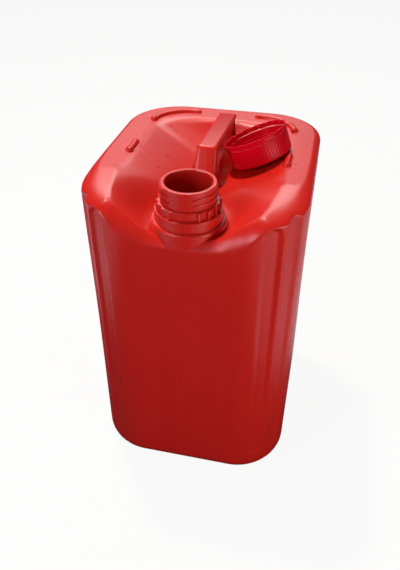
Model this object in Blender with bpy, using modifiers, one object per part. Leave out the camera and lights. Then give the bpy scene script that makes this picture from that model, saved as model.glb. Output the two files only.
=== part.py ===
"""Stackable plastic jerrycan of the 20 litre class, with its screw cap taken off and laid on the top.

Metres, +Z up. The can stands on z = 0 about the origin, with its neck towards -Y. Angles round the
neck and the cap run from -Y, anticlockwise seen from above.
"""

import math
from collections import namedtuple

import bmesh
import bpy
from mathutils import Matrix, Vector

# Can body
can_width = 0.246
can_depth = 0.2834
rim_height = 0.392
can_wall = 0.0024
dish_wall = 0.0032
front_corner_radius = 0.065
rear_corner_radius = 0.068
rim_fillet = 0.008
base_fillet = 0.020
side_hollow = 0.001

# Base: a flat foot ring round a shallow push-up
foot_width = 0.014
push_up_height = 0.004
push_up_slope_width = 0.010

# Shoulder that rolls from the rim down to the front face
shoulder_length = 0.0767
shoulder_drop_middle = 0.043
shoulder_drop_corner = 0.013
shoulder_middle_half = 0.015
shoulder_side_inset = 0.025
shoulder_roundness = 1.85
shoulder_middle_roundness = 1.4
roundness_middle_half = 0.030
roundness_side_half = 0.055
shoulder_crease_slope = 0.12

# Dish sunk between the rims
side_rim_width = 0.035
back_rim_width = 0.0417
panel_slope = 0.45
back_wall_slope = 1.05
panel_valley_half = 0.008
bowl_margin = 0.0095
bowl_depth = 0.031
bowl_wall_slope = 1.0
edge_blend = 0.0025
valley_blend = 0.010

# Finger recess under the handle
recess_depth = 0.054
recess_half_width = 0.026
recess_length = 0.142
recess_back_gap = 0.027
recess_edge_blend = 0.007
recess_shallow_depth = 0.028
recess_start_gap = 0.012
recess_run_in = 0.040

# Upright flutes on the four corners
flute_angles = (33.0, 57.0)
flute_half_width = 0.0118
flute_depth = 0.0040
flute_foot_depth = 0.0016
flute_flat_share = 0.35
flute_top_drops = (0.012, 0.005)
flute_foot_height = 0.032

# Stacking beads on the rim
bead_radius = 0.0042
bead_height = 0.0036
side_bead_inset = 0.0315
side_bead_front_y = -0.0155
side_bead_length = 0.0245
corner_bead_radius = 0.046
corner_bead_side_inset = 0.032
corner_bead_back_inset = 0.0232
corner_bead_start = 12.0
corner_bead_end = 97.0

# Handle
handle_half_width = 0.0117
handle_length = 0.136
handle_back_inset = 0.0207
handle_front_rise = 0.0135
handle_back_rise = 0.0015
handle_thickness = 0.025
handle_edge_radius = 0.0042
handle_nose_radius = 0.006
handle_grip_radius = 0.010
handle_draft = 0.05
leg_lean = 0.42
leg_thickness = 0.024
leg_foot_drop = 0.050

# Neck finish
lip_rise = 0.013
neck_front_margin = 0.0002
neck_outer_radius = 0.0291
bore_radius = 0.025
lip_edge = 0.0007
thread_height = 0.0014
thread_pitch = 0.0063
thread_front_drop = 0.0140
thread_width = 0.0028
thread_crest_share = 0.44
thread_end_share = 0.15
thread_runs = 5
seam_gap_angle = 22.0
ratchet_root_radius = 0.0318
ratchet_reach = 0.0027
ratchet_edge = 0.0006
ratchet_face_share = 0.04
ratchet_back_share = 0.5
ratchet_back_height = 0.45
ratchet_top_drop = 0.0197
ratchet_teeth = 20
ratchet_first_step = 30.0
flange_radius = 0.0364
flange_top_drop = 0.0288
flange_length = 0.0114
flange_edge = 0.0012
pedestal_step = 0.0041
pedestal_edge = 0.0040
pedestal_length = 0.026

# Screw cap, measured from its closed face
cap_height = 0.029
cap_base_radius = 0.0354
cap_radius = 0.0366
cap_plate = 0.0026
cap_skirt_wall = 0.0018
cap_edge = 0.0015
rib_count = 60
rib_depth = 0.0006
thread_clearance = 0.0006
sleeve_wall = 0.0016
sleeve_height = 0.0165
cap_thread_start = 0.0064
cap_thread_turns = 1.4

# Tamper band round the open end of the cap
band_height = 0.0055
band_flare = 0.0010
band_wall = 0.0016
band_slot = 0.0009
bridge_count = 8
bridge_width = 0.0022
pawl_count = 20
pawl_overlap = 0.0010
pawl_height = 0.0030
pawl_root_angle = 9.0
pawl_tip_angle = 1.5

# Seal ring inside the cap
seal_inner_radius = 0.0235
seal_thickness = 0.0018
seal_bead = 0.0004

# Where the cap lies on the dish
cap_turn = 12.0
cap_rest_y = 0.0200
cap_handle_clearance = 0.0006
rest_inset = 0.0035
piece_gap = 0.0003

# Facets
corner_columns = 16
front_columns = 6
side_columns = 4
fillet_rows = 4
outer_wall_rows = 7
inner_wall_rows = 4
wall_lean = 2.0
dish_rows = 11
dish_lean = 1.1
recess_rows = 7
recess_lean = 1.5
handle_edge_rows = 3
bead_sides = 8
bead_steps = 8
neck_segments = 48
cap_segments = 48
thread_step_angle = 13.0

# Places that follow from the sizes
half_width = can_width / 2
half_depth = can_depth / 2
shoulder_start_y = shoulder_length - half_depth
rim_inner_half = half_width - side_rim_width
back_edge_y = half_depth - back_rim_width
handle_back_y = half_depth - handle_back_inset
handle_front_y = handle_back_y - handle_length
recess_back_y = handle_back_y - recess_back_gap
recess_middle_y = recess_back_y - recess_length / 2
recess_start_y = handle_front_y - recess_start_gap
side_bead_x = half_width - side_bead_inset
side_bead_back_y = side_bead_front_y + side_bead_length
lip_height = rim_height + lip_rise
flange_top = lip_height - flange_top_drop
flange_bottom = flange_top - flange_length
collar_top = lip_height - ratchet_top_drop
pedestal_radius = flange_radius + pedestal_step
pedestal_root = flange_bottom - pedestal_length
neck_y = pedestal_radius + neck_front_margin - half_depth
bowl_radius = pedestal_radius + bowl_margin
skirt_end = cap_height - band_height - band_slot
band_radius = cap_radius + band_flare
band_inner_radius = band_radius - band_wall
sleeve_radius = neck_outer_radius + thread_height + thread_clearance

Column = namedtuple("Column", "point normal turn radius")


def clear_scene():
    for item in list(bpy.data.objects):
        bpy.data.objects.remove(item, do_unlink=True)


def new_collection(name):
    group = bpy.data.collections.new(name)
    bpy.context.scene.collection.children.link(group)
    return group


clear_scene()
can_parts = new_collection("Jerrycan")
cutters = new_collection("Cutters")


def plastic(name, colour, roughness):
    material = bpy.data.materials.new(name)
    material.use_nodes = True
    shader = material.node_tree.nodes["Principled BSDF"]
    shader.inputs["Base Color"].default_value = (*colour, 1.0)
    shader.inputs["Roughness"].default_value = roughness
    shader.inputs["Metallic"].default_value = 0.0
    return material


def add_piece(name, mesh, material, parent=None):
    item = bpy.data.objects.new(name, mesh)
    can_parts.objects.link(item)
    item.parent = parent
    mesh.materials.append(material)
    return item


def add_cutter(name, mesh, parent=None):
    item = bpy.data.objects.new(name, mesh)
    cutters.objects.link(item)
    item.parent = parent
    item.hide_render = True
    item.display_type = "WIRE"
    return item


def mesh_from(builder, name):
    bmesh.ops.recalc_face_normals(builder, faces=builder.faces)
    mesh = bpy.data.meshes.new(name)
    builder.to_mesh(mesh)
    builder.free()
    return mesh


def boolean(target, other, operation):
    cut = target.modifiers.new(f"{operation.title()} {other.name}", "BOOLEAN")
    cut.object = other
    cut.operation = operation
    cut.solver = "EXACT"


def smooth_min(a, b, blend):
    """The lower of two heights, with the edge between them rounded off downwards."""
    return min(a, b) - max(blend - abs(a - b), 0.0) ** 2 / (4 * blend)


def smooth_max(a, b, blend):
    return -smooth_min(-a, -b, blend)


def smooth_step(value, low, high):
    t = min(max((value - low) / (high - low), 0.0), 1.0)
    return t * t * (3 - 2 * t)


def around(radius, angle, centre_y=0.0):
    """Plan position at an angle in degrees from -Y."""
    turn = math.radians(angle)
    return radius * math.sin(turn), centre_y - radius * math.cos(turn)


def loft(name, rings, low_pole=None, high_pole=None):
    """Joins closed rings of equal count. Each end is closed by a fan to a pole, or by one flat face."""
    builder = bmesh.new()
    loops = [[builder.verts.new(point) for point in ring] for ring in rings]
    for lower, upper in zip(loops, loops[1:]):
        for i in range(len(lower)):
            j = (i + 1) % len(lower)
            builder.faces.new((lower[i], lower[j], upper[j], upper[i]))
    for loop, pole in ((loops[0], low_pole), (loops[-1], high_pole)):
        if pole is None:
            builder.faces.new(loop)
            continue
        tip = builder.verts.new(pole)
        for i in range(len(loop)):
            builder.faces.new((loop[i], loop[(i + 1) % len(loop)], tip))
    return mesh_from(builder, name)


def turned(item, profile, segments):
    """Turns a closed profile of (radius, height) about the object's vertical axis."""
    builder = bmesh.new()
    points = [builder.verts.new((radius, 0.0, height)) for radius, height in profile]
    for i, point in enumerate(points):
        builder.edges.new((point, points[(i + 1) % len(points)]))
    builder.to_mesh(item.data)
    builder.free()
    turn = item.modifiers.new("Turn", "SCREW")
    turn.steps = segments
    turn.render_steps = segments
    turn.use_merge_vertices = True
    turn.merge_threshold = 1e-5
    return item


def turned_cutter(name, profile, segments, parent=None):
    return turned(add_cutter(name, bpy.data.meshes.new(name), parent), profile, segments)


# Can body: one loft of closed rings, from the middle of the base up the walls and in to the dish


def body_columns(coarseness):
    """Points of the plan outline with their outward normals: four straight runs and four corner arcs."""
    corners = ((1, -1), (1, 1), (-1, 1), (-1, -1))
    steps = corner_columns // coarseness
    counts = [count // coarseness for count in (front_columns, side_columns, side_columns, side_columns)]
    arcs = []
    for sx, sy in corners:
        radius = front_corner_radius if sy < 0 else rear_corner_radius
        centre = Vector((sx * (half_width - radius), sy * (half_depth - radius)))
        arc = []
        for i in range(steps + 1):
            share = 90.0 * i / steps
            turn = share if sx * sy < 0 else 90.0 - share
            normal = Vector((sx * math.sin(math.radians(turn)), sy * math.cos(math.radians(turn))))
            arc.append(Column(centre + radius * normal, normal, turn, radius))
        arcs.append(arc)
    found = []
    for before, arc, count in zip(arcs[-1:] + arcs[:-1], arcs, counts):
        start, end = before[-1], arc[0]
        for i in range(1, count):
            found.append(Column(start.point.lerp(end.point, i / count), end.normal, None, end.radius))
        found.extend(arc)
    return found


def flute(column, z):
    """Depth of the corner flutes at a column of the outline and a height."""
    if column.turn is None:
        return 0.0
    depth = 0.0
    for angle, drop in zip(flute_angles, flute_top_drops):
        across = column.radius * math.radians(column.turn - angle)
        above = max(z - (rim_height - drop - flute_half_width), 0.0)
        below = max(flute_foot_height + flute_half_width - z, 0.0)
        reach = math.hypot(across, above + below) / flute_half_width
        rise = (z - flute_foot_height) / (rim_height - flute_foot_height)
        full = flute_foot_depth + (flute_depth - flute_foot_depth) * rise
        depth += full * (1 - smooth_step(reach, flute_flat_share, 1.0))
    return depth


def shoulder_height(x, y, inset):
    """Height of the rim, and of the shoulder in front of it, before the dish is sunk."""
    ahead = shoulder_start_y - y
    if ahead <= 0:
        return rim_height - inset
    side = smooth_step(abs(x), shoulder_middle_half, half_width - shoulder_side_inset) ** 2
    drop = shoulder_drop_middle + (shoulder_drop_corner - shoulder_drop_middle) * side
    share = min(ahead / (shoulder_length - inset), 1.0)
    sideways = smooth_step(abs(x), roundness_middle_half, roundness_side_half)
    power = shoulder_middle_roundness + (shoulder_roundness - shoulder_middle_roundness) * sideways
    roll = 1 - (1 - share**power) ** (1 / power)
    crease = shoulder_crease_slope * ahead * (1 - share) ** 2
    return rim_height - inset - drop * roll - crease


def dish_height(x, y):
    """Height of the dish: two sloping panels, a back wall, a bowl round the neck and the finger recess."""
    panel = rim_height - panel_slope * (rim_inner_half - math.hypot(x, panel_valley_half))
    back = rim_height - back_wall_slope * (back_edge_y - y)
    dish = smooth_max(panel, back, valley_blend)
    from_neck = math.hypot(x, y - neck_y)
    bowl = rim_height - bowl_depth + bowl_wall_slope * max(from_neck - bowl_radius, 0.0)
    dish = smooth_min(dish, bowl, valley_blend)
    spread = (x / recess_half_width) ** 2 + ((y - recess_middle_y) / (recess_length / 2)) ** 4
    if spread < 1:
        run_in = smooth_step(y, recess_start_y, recess_start_y + recess_run_in)
        depth = recess_shallow_depth + (recess_depth - recess_shallow_depth) * run_in
        dish = smooth_min(dish, rim_height - depth * math.sqrt(1 - spread), recess_edge_blend)
    return dish


def recess_edge(column):
    """The point of the recess's outline that a column of the plan outline leads to."""
    turn = math.atan2(column.point.y / half_depth, column.point.x / half_width)
    end = math.copysign(math.sqrt(abs(math.sin(turn))), math.sin(turn))
    return Vector((recess_half_width * math.cos(turn), recess_middle_y + recess_length / 2 * end))


def dish_inside(x, y, inset):
    """The dish lowered so that its wall has the full thickness square to the slope."""
    here = dish_height(x, y)
    if not inset:
        return here
    slope_x = (dish_height(x + inset, y) - dish_height(x - inset, y)) / (2 * inset)
    slope_y = (dish_height(x, y + inset) - dish_height(x, y - inset)) / (2 * inset)
    return here - dish_wall * math.hypot(1.0, slope_x, slope_y)


def top_height(x, y, inset=0.0, fillet_drop=0.0):
    shoulder = shoulder_height(x, y, inset) - fillet_drop
    return smooth_min(shoulder, dish_inside(x, y, inset), edge_blend)


def spaced(rows, lean):
    """Fractions up to 1, closer together near 0 when lean is over 1."""
    return [((i + 1) / rows) ** lean for i in range(rows)]


def body_shell(name, inset, coarseness, wall_rows):
    """The can's skin set in by a distance: 0 for the outside, the wall thickness for the cavity."""
    picked = body_columns(coarseness)
    flute_foot = (flute_foot_height + flute_half_width - base_fillet) / (rim_height - base_fillet)
    wall_fractions = [flute_foot] + [1 - gap for gap in spaced(wall_rows, wall_lean)[-2::-1]] + [1.0]
    dish_fractions = spaced(dish_rows, dish_lean)
    recess_fractions = spaced(recess_rows, recess_lean)[:-1]

    def ring(depth, z):
        points = (column.point - column.normal * (depth + flute(column, z)) for column in picked)
        return [(point.x, point.y, z) for point in points]

    foot_inset = base_fillet + foot_width
    floor = push_up_height + inset
    rings = [ring(foot_inset + push_up_slope_width, floor), ring(foot_inset, inset)]
    for i in range(fillet_rows + 1):
        angle = math.radians(90 * i / fillet_rows)
        radius = base_fillet - inset
        rings.append(ring(base_fillet - radius * math.sin(angle), base_fillet - radius * math.cos(angle)))
    edge = rim_fillet - inset
    for fraction in wall_fractions:
        hollow = side_hollow * math.sin(math.pi * fraction) ** 2
        points = []
        for column in picked:
            at = column.point - column.normal * inset
            top = shoulder_height(at.x, at.y, inset) - edge
            z = base_fillet + (top - base_fillet) * fraction
            at = at - column.normal * (hollow + flute(column, z))
            points.append((at.x, at.y, z))
        rings.append(points)
    for i in range(1, fillet_rows + 1):
        angle = math.radians(90 * i / fillet_rows)
        depth = inset + edge * (1 - math.cos(angle))
        points = []
        for column in picked:
            at = column.point - column.normal * depth
            z = top_height(at.x, at.y, inset, edge * (1 - math.sin(angle)))
            at = at - column.normal * flute(column, z)
            points.append((at.x, at.y, z))
        rings.append(points)
    middle = Vector((0.0, recess_middle_y))
    starts = [column.point - column.normal * rim_fillet for column in picked]
    ends = [recess_edge(column) for column in picked]
    stages = [(starts, ends, fraction) for fraction in dish_fractions]
    stages += [(ends, [middle] * len(ends), fraction) for fraction in recess_fractions]
    for outer, inner, fraction in stages:
        plan = [a.lerp(b, fraction) for a, b in zip(outer, inner)]
        rings.append([(at.x, at.y, top_height(at.x, at.y, inset)) for at in plan])
    return loft(name, rings, (0, 0, floor), (*middle, top_height(*middle, inset)))


# Stacking beads


def capsule(name, path):
    """A round bar with ball ends along a level path."""
    ball_rings = [(math.cos(math.radians(turn)), math.sin(math.radians(turn))) for turn in (30, 60)]
    last = len(path) - 1
    rings = []
    for i, point in enumerate(path):
        along = (path[min(i + 1, last)] - path[max(i - 1, 0)]).normalized()
        side = Vector((-along.y, along.x, 0))
        stations = [(0.0, 1.0)]
        if i == 0:
            stations = [(-shift, share) for shift, share in ball_rings] + stations
        if i == last:
            stations = stations + ball_rings[::-1]
        for shift, share in stations:
            centre = point + along * bead_radius * shift
            ring = []
            for k in range(bead_sides):
                turn = 2 * math.pi * (k + 0.5) / bead_sides
                spoke = side * math.cos(turn) + Vector((0, 0, math.sin(turn)))
                ring.append(centre + spoke * share * bead_radius)
            rings.append(ring)
    start = path[0] - (path[1] - path[0]).normalized() * bead_radius
    end = path[last] + (path[last] - path[last - 1]).normalized() * bead_radius
    return loft(name, rings, start, end)


def add_beads(body):
    """Short side beads and curved rear beads that keep the next can's foot in place."""
    z = rim_height + bead_height - bead_radius
    curve_x = half_width - corner_bead_side_inset - corner_bead_radius
    curve_y = half_depth - corner_bead_back_inset - corner_bead_radius
    for sign, side in ((1, "right"), (-1, "left")):
        straight = [Vector((sign * side_bead_x, y, z)) for y in (side_bead_front_y, side_bead_back_y)]
        curved = []
        for i in range(bead_steps + 1):
            share = i / bead_steps
            angle = math.radians(corner_bead_start + (corner_bead_end - corner_bead_start) * share)
            x = curve_x + corner_bead_radius * math.cos(angle)
            curved.append(Vector((sign * x, curve_y + corner_bead_radius * math.sin(angle), z)))
        boolean(body, add_cutter(f"side_bead_{side}", capsule("side_bead", straight)), "UNION")
        boolean(body, add_cutter(f"corner_bead_{side}", capsule("corner_bead", curved)), "UNION")


# Handle: a hollow bar with one raked front leg, open to the can at both ends


def rounded(corners, radii, steps=4):
    """A polygon with each corner that has a radius replaced by an arc."""
    points = []
    count = len(corners)
    for i, (corner, radius) in enumerate(zip(corners, radii)):
        if not radius:
            points.append(corner)
            continue
        before = (corners[i - 1] - corner).normalized()
        after = (corners[(i + 1) % count] - corner).normalized()
        half = before.angle(after) / 2
        centre = corner + (before + after).normalized() * radius / math.sin(half)
        start = corner + before * radius / math.tan(half) - centre
        end = corner + after * radius / math.tan(half) - centre
        first = math.atan2(start.y, start.x)
        sweep = (math.atan2(end.y, end.x) - first + math.pi) % (2 * math.pi) - math.pi
        for k in range(steps + 1):
            angle = first + sweep * k / steps
            points.append(centre + radius * Vector((math.cos(angle), math.sin(angle))))
    return points


def crossing(point, direction, other, other_direction):
    across = direction.x * other_direction.y - direction.y * other_direction.x
    apart = other - point
    return point + direction * (apart.x * other_direction.y - apart.y * other_direction.x) / across


def handle_outline(inset):
    """Side view of the bar and its leg as (y, z) points, set in by a distance."""
    front = Vector((handle_front_y, rim_height + handle_front_rise))
    back = Vector((handle_back_y, rim_height + handle_back_rise))
    bar = (back - front).normalized()
    under_bar = Vector((bar.y, -bar.x))
    leg = Vector((-leg_lean, -1.0)).normalized()
    behind_leg = Vector((-leg.y, leg.x))
    top = front + under_bar * inset
    under = front + under_bar * (handle_thickness - inset)
    leg_front = front + behind_leg * inset
    leg_rear = front + behind_leg * (leg_thickness - inset)
    end = Vector((handle_back_y - inset, rim_height))
    foot = Vector((handle_front_y, rim_height - leg_foot_drop - inset))
    upright = Vector((0.0, 1.0))
    level = Vector((1.0, 0.0))
    corners = [
        crossing(end, upright, top, bar),
        crossing(top, bar, leg_front, leg),
        crossing(leg_front, leg, foot, level),
        crossing(leg_rear, leg, foot, level),
        crossing(under, bar, leg_rear, leg),
        crossing(end, upright, under, bar),
    ]
    end_radius = handle_edge_radius - inset
    return rounded(corners, (end_radius, handle_nose_radius - inset, 0, 0, handle_grip_radius + inset, 0))


def handle_solid(name, inset, edge_segments):
    """The outline drawn out to the handle's width, its long edges rounded and its sides given draft."""
    builder = bmesh.new()
    reach = handle_half_width - inset
    outline = [builder.verts.new((-reach, point.x, point.y)) for point in handle_outline(inset)]
    face = builder.faces.new(outline)
    grown = bmesh.ops.extrude_face_region(builder, geom=[face])
    moved = [item for item in grown["geom"] if isinstance(item, bmesh.types.BMVert)]
    bmesh.ops.translate(builder, verts=moved, vec=(2 * reach, 0, 0))
    bmesh.ops.recalc_face_normals(builder, faces=builder.faces)
    bmesh.ops.bevel(
        builder,
        geom=[edge for edge in builder.edges if abs(edge.verts[0].co.x - edge.verts[1].co.x) < reach],
        offset=handle_edge_radius - inset,
        segments=edge_segments,
        profile=0.5,
        affect="EDGES",
        clamp_overlap=True,
    )
    crest = rim_height + handle_front_rise
    for vert in builder.verts:
        vert.co.x *= 1 + handle_draft * (crest - vert.co.z) / handle_half_width
    return mesh_from(builder, name)


# Neck finish: pedestal, flange, ratchet collar and interrupted screw thread


def neck_profile():
    core = bore_radius / 2
    profile = [
        (core, lip_height),
        (neck_outer_radius - lip_edge, lip_height),
        (neck_outer_radius, lip_height - lip_edge),
        (neck_outer_radius, flange_top),
        (flange_radius - flange_edge, flange_top),
        (flange_radius, flange_top - flange_edge),
        (flange_radius, flange_bottom),
    ]
    for i in range(4):
        angle = math.radians(30 * i)
        radius = pedestal_radius - pedestal_edge * (1 - math.sin(angle))
        profile.append((radius, flange_bottom - pedestal_edge * (1 - math.cos(angle))))
    return profile + [(pedestal_radius, pedestal_root), (core, pedestal_root)]


def bore_profile():
    """The straight bore, and the wider hollow of the pedestal under it."""
    wide = pedestal_radius - can_wall
    ceiling = flange_bottom - can_wall
    return [
        (0.0, lip_height + can_wall),
        (bore_radius, lip_height + can_wall),
        (bore_radius, ceiling),
        (wide - pedestal_edge, ceiling),
        (wide, ceiling - pedestal_edge),
        (wide, pedestal_root - can_wall),
        (0.0, pedestal_root - can_wall),
    ]


def ratchet_collar():
    """Saw teeth that the band's pawls ride over one way only, left out beside the mould seam."""
    pitch = 360.0 / ratchet_teeth
    outline = []
    for tooth in range(ratchet_teeth):
        step = ratchet_first_step + pitch * tooth
        from_seam = abs((step + 90) % 180 - 90)
        reach = ratchet_reach if from_seam > seam_gap_angle else 0.0
        tooth_points = ((0, 0), (ratchet_face_share, 1), (ratchet_back_share, ratchet_back_height))
        for share, height in tooth_points:
            outline.append((ratchet_root_radius + reach * height, step + pitch * share))
    levels = ((flange_top - flange_edge, 0.0), (collar_top - ratchet_edge, 0.0), (collar_top, ratchet_edge))
    rings = []
    for z, less in levels:
        rings.append([(*around(radius - less, angle, neck_y), z) for radius, angle in outline])
    return loft("ratchet_collar", rings)


def thread_run(name, start, end, z_at_zero, root, height, centre_y=0.0):
    """A stretch of screw ridge between two angles, run out at both ends. Height is negative for inward."""
    sunk = math.copysign(lip_edge, height)
    steps = max(round((end - start) / thread_step_angle), 3)
    rings = []
    for i in range(steps + 1):
        angle = start + (end - start) * i / steps
        z = z_at_zero + thread_pitch * angle / 360
        fade = min(1.0, thread_end_share + i / 2, thread_end_share + (steps - i) / 2)
        crest = root + height * fade
        half = thread_width / 2
        flat = half * thread_crest_share
        section = ((root - sunk, -half), (crest, -flat), (crest, flat), (root - sunk, half))
        rings.append([(*around(radius, angle, centre_y), z + rise) for radius, rise in section])
    return loft(name, rings)


def add_neck(body):
    neck = turned_cutter("neck_finish", neck_profile(), neck_segments)
    neck.location.y = neck_y
    boolean(body, neck, "UNION")
    boolean(body, add_cutter("ratchet_collar", ratchet_collar()), "UNION")
    front_z = lip_height - thread_front_drop
    highest = lip_height - lip_edge - thread_width / 2
    for run in range(thread_runs):
        start = seam_gap_angle + 180 * (run - 1)
        end = min(start + 180 - 2 * seam_gap_angle, 360 * (highest - front_z) / thread_pitch)
        ridge = thread_run("neck_thread", start, end, front_z, neck_outer_radius, thread_height, neck_y)
        boolean(body, add_cutter(f"neck_thread_{run + 1}", ridge), "UNION")


def make_can():
    red = plastic("satin_red_polyethylene", (0.62, 0.012, 0.012), 0.38)
    body = add_piece("jerrycan_body", body_shell("jerrycan_body", 0.0, 1, outer_wall_rows), red)
    handle = handle_solid("handle_bar", 0.0, handle_edge_rows)
    boolean(body, add_cutter("handle_bar", handle), "UNION")
    add_beads(body)
    add_neck(body)
    cavity = body_shell("cavity", can_wall, 2, inner_wall_rows)
    boolean(body, add_cutter("cavity", cavity), "DIFFERENCE")
    boolean(body, add_cutter("handle_core", handle_solid("handle_core", can_wall, 1)), "DIFFERENCE")
    bore = turned_cutter("neck_bore", bore_profile(), neck_segments)
    bore.location.y = neck_y
    boolean(body, bore, "DIFFERENCE")


# Screw cap, tamper band and seal: modelled closed face down about the cap's own axis


def laid_down():
    """The cap's resting place: its closed face on the dish panel and the side bead, clear of the handle."""
    turn = math.radians(cap_turn)
    edge = cap_base_radius - cap_edge
    low, high = math.radians(10), math.radians(45)
    for _ in range(24):
        tilt = (low + high) / 2
        up = Vector((-math.sin(tilt) * math.cos(turn), math.sin(tilt) * math.sin(turn), math.cos(tilt)))
        side = Vector((0, 1, 0)).cross(up).normalized()
        across = up.cross(side)
        rim_reach = band_radius * side.x - cap_height * up.x
        beside = handle_half_width + handle_draft * (handle_front_rise + handle_thickness / 2)
        x = beside + cap_handle_clearance + rim_reach
        lifts = {True: -math.inf, False: -math.inf}
        for k in range(cap_segments):
            angle = 2 * math.pi * (k + 0.5) / cap_segments
            spoke = side * math.cos(angle) + across * math.sin(angle)
            for reach in (edge, edge - rest_inset):
                at = Vector((x, cap_rest_y, 0)) + spoke * reach
                lift = max(top_height(at.x, at.y), bead_top(at.x, at.y)) - at.z
                lifts[spoke.x > 0] = max(lifts[spoke.x > 0], lift)
        if lifts[True] > lifts[False]:
            low = tilt
        else:
            high = tilt
    place = Matrix.Translation((x, cap_rest_y, max(lifts.values()) + piece_gap))
    return place @ Matrix((side, across, up)).transposed().to_4x4()


def bead_top(x, y):
    """Height of the right side bead over a point, or nothing beside it."""
    along = min(max(y, side_bead_front_y), side_bead_back_y)
    away = math.hypot(x - side_bead_x, y - along)
    if away >= bead_radius:
        return -math.inf
    return rim_height + bead_height - bead_radius + math.sqrt(bead_radius**2 - away**2)


def ribbed_blank():
    """The cap's outside: a rounded edge at the closed face, then fine upright ribs up the skirt."""
    count = rib_count * 3

    def ring(radius, z, groove):
        return [(*around(radius - groove * (k % 3 == 0), 360 * k / count), z) for k in range(count)]

    rings = [
        ring(cap_base_radius - cap_edge, 0.0, 0.0),
        ring(cap_base_radius, cap_edge, rib_depth),
        ring(cap_radius, skirt_end, rib_depth),
    ]
    return loft("screw_cap", rings)


def make_cap(place, crimson):
    """Plate, ribbed skirt and the threaded sleeve that stands inside it."""
    cap = add_piece("screw_cap", ribbed_blank(), crimson, place)
    inside = cap_radius - rib_depth - cap_skirt_wall
    inside_base = cap_base_radius - rib_depth - cap_skirt_wall
    over = skirt_end + cap_edge
    hollow = [
        (0.0, over),
        (inside, over),
        (inside, skirt_end),
        (inside_base, cap_plate + cap_edge),
        (inside_base - cap_edge, cap_plate),
        (sleeve_radius + sleeve_wall, cap_plate),
        (sleeve_radius + sleeve_wall, sleeve_height),
        (sleeve_radius, sleeve_height),
        (sleeve_radius, cap_plate),
        (0.0, cap_plate),
    ]
    boolean(cap, turned_cutter("cap_hollow", hollow, cap_segments, place), "DIFFERENCE")
    end = 360 * cap_thread_turns
    ridge = thread_run("cap_thread", 0.0, end, cap_thread_start, sleeve_radius, -thread_height)
    boolean(cap, add_cutter("cap_thread", ridge, place), "UNION")


def wedges(name, count, outline, low, high):
    """Copies of a small upright prism round the axis, from its (radius, angle) outline."""
    builder = bmesh.new()
    for i in range(count):
        rings = []
        for z in (low, high):
            points = [(*around(radius, angle + 360 * i / count), z) for radius, angle in outline]
            rings.append([builder.verts.new(point) for point in points])
        builder.faces.new(rings[0])
        builder.faces.new(rings[1])
        for k in range(len(outline)):
            j = (k + 1) % len(outline)
            builder.faces.new((rings[0][k], rings[0][j], rings[1][j], rings[1][k]))
    return mesh_from(builder, name)


def make_band(place, crimson):
    """The tear-off ring: pawls inside that catch the neck's teeth, and bridges up to the skirt."""
    low = cap_height - band_height
    band = add_piece("tamper_band", bpy.data.meshes.new("tamper_band"), crimson, place)
    bevel = band_wall / 4
    profile = [
        (band_inner_radius + bevel, cap_height),
        (band_radius - bevel, cap_height),
        (band_radius, cap_height - bevel),
        (band_radius, low + band_flare),
        (cap_radius, low),
        (band_inner_radius, low),
        (band_inner_radius, cap_height - bevel),
    ]
    turned(band, profile, cap_segments)
    tip = ratchet_root_radius + ratchet_reach - pawl_overlap
    root = band_inner_radius + bevel
    wide = pawl_root_angle
    pawl = ((root, 0.0), (root, wide), (band_inner_radius, wide), (tip, pawl_tip_angle), (tip, 0.0))
    pawl_low = low + (band_height - pawl_height) / 2
    pawls = wedges("band_pawls", pawl_count, pawl, pawl_low, pawl_low + pawl_height)
    boolean(band, add_cutter("band_pawls", pawls, place), "UNION")
    reach = math.degrees(bridge_width / band_radius) / 2
    inner = band_inner_radius + bevel
    outer = cap_radius - bevel
    bridge = ((inner, -reach), (inner, reach), (outer, reach), (outer, -reach))
    bridges = wedges("band_bridges", bridge_count, bridge, skirt_end + piece_gap, low + bevel)
    boolean(band, add_cutter("band_bridges", bridges, place), "UNION")


def make_seal(place):
    """Ring that the neck's lip presses against."""
    grey = plastic("soft_grey_polyethylene_foam", (0.55, 0.53, 0.50), 0.7)
    seal = add_piece("cap_seal", bpy.data.meshes.new("cap_seal"), grey, place)
    outer = sleeve_radius - piece_gap
    base = cap_plate + piece_gap
    top = base + seal_thickness
    middle = (neck_outer_radius + bore_radius) / 2
    profile = [
        (seal_inner_radius, top - seal_bead),
        (bore_radius, top - seal_bead),
        (middle, top),
        (neck_outer_radius, top - seal_bead),
        (outer, top - seal_bead),
        (outer, base),
        (seal_inner_radius, base),
    ]
    turned(seal, profile, cap_segments)


make_can()
cap_place = bpy.data.objects.new("cap_place", None)
can_parts.objects.link(cap_place)
cap_place.matrix_world = laid_down()
cap_crimson = plastic("gloss_crimson_polypropylene", (0.50, 0.002, 0.012), 0.28)
make_cap(cap_place, cap_crimson)
make_band(cap_place, cap_crimson)
make_seal(cap_place)
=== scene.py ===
"""Stackable plastic jerrycan, its screw cap laid on the sunk top. Metres, +Z up, neck towards -Y."""

import math

import bpy
import numpy as np
from mathutils import Matrix, Vector


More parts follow.
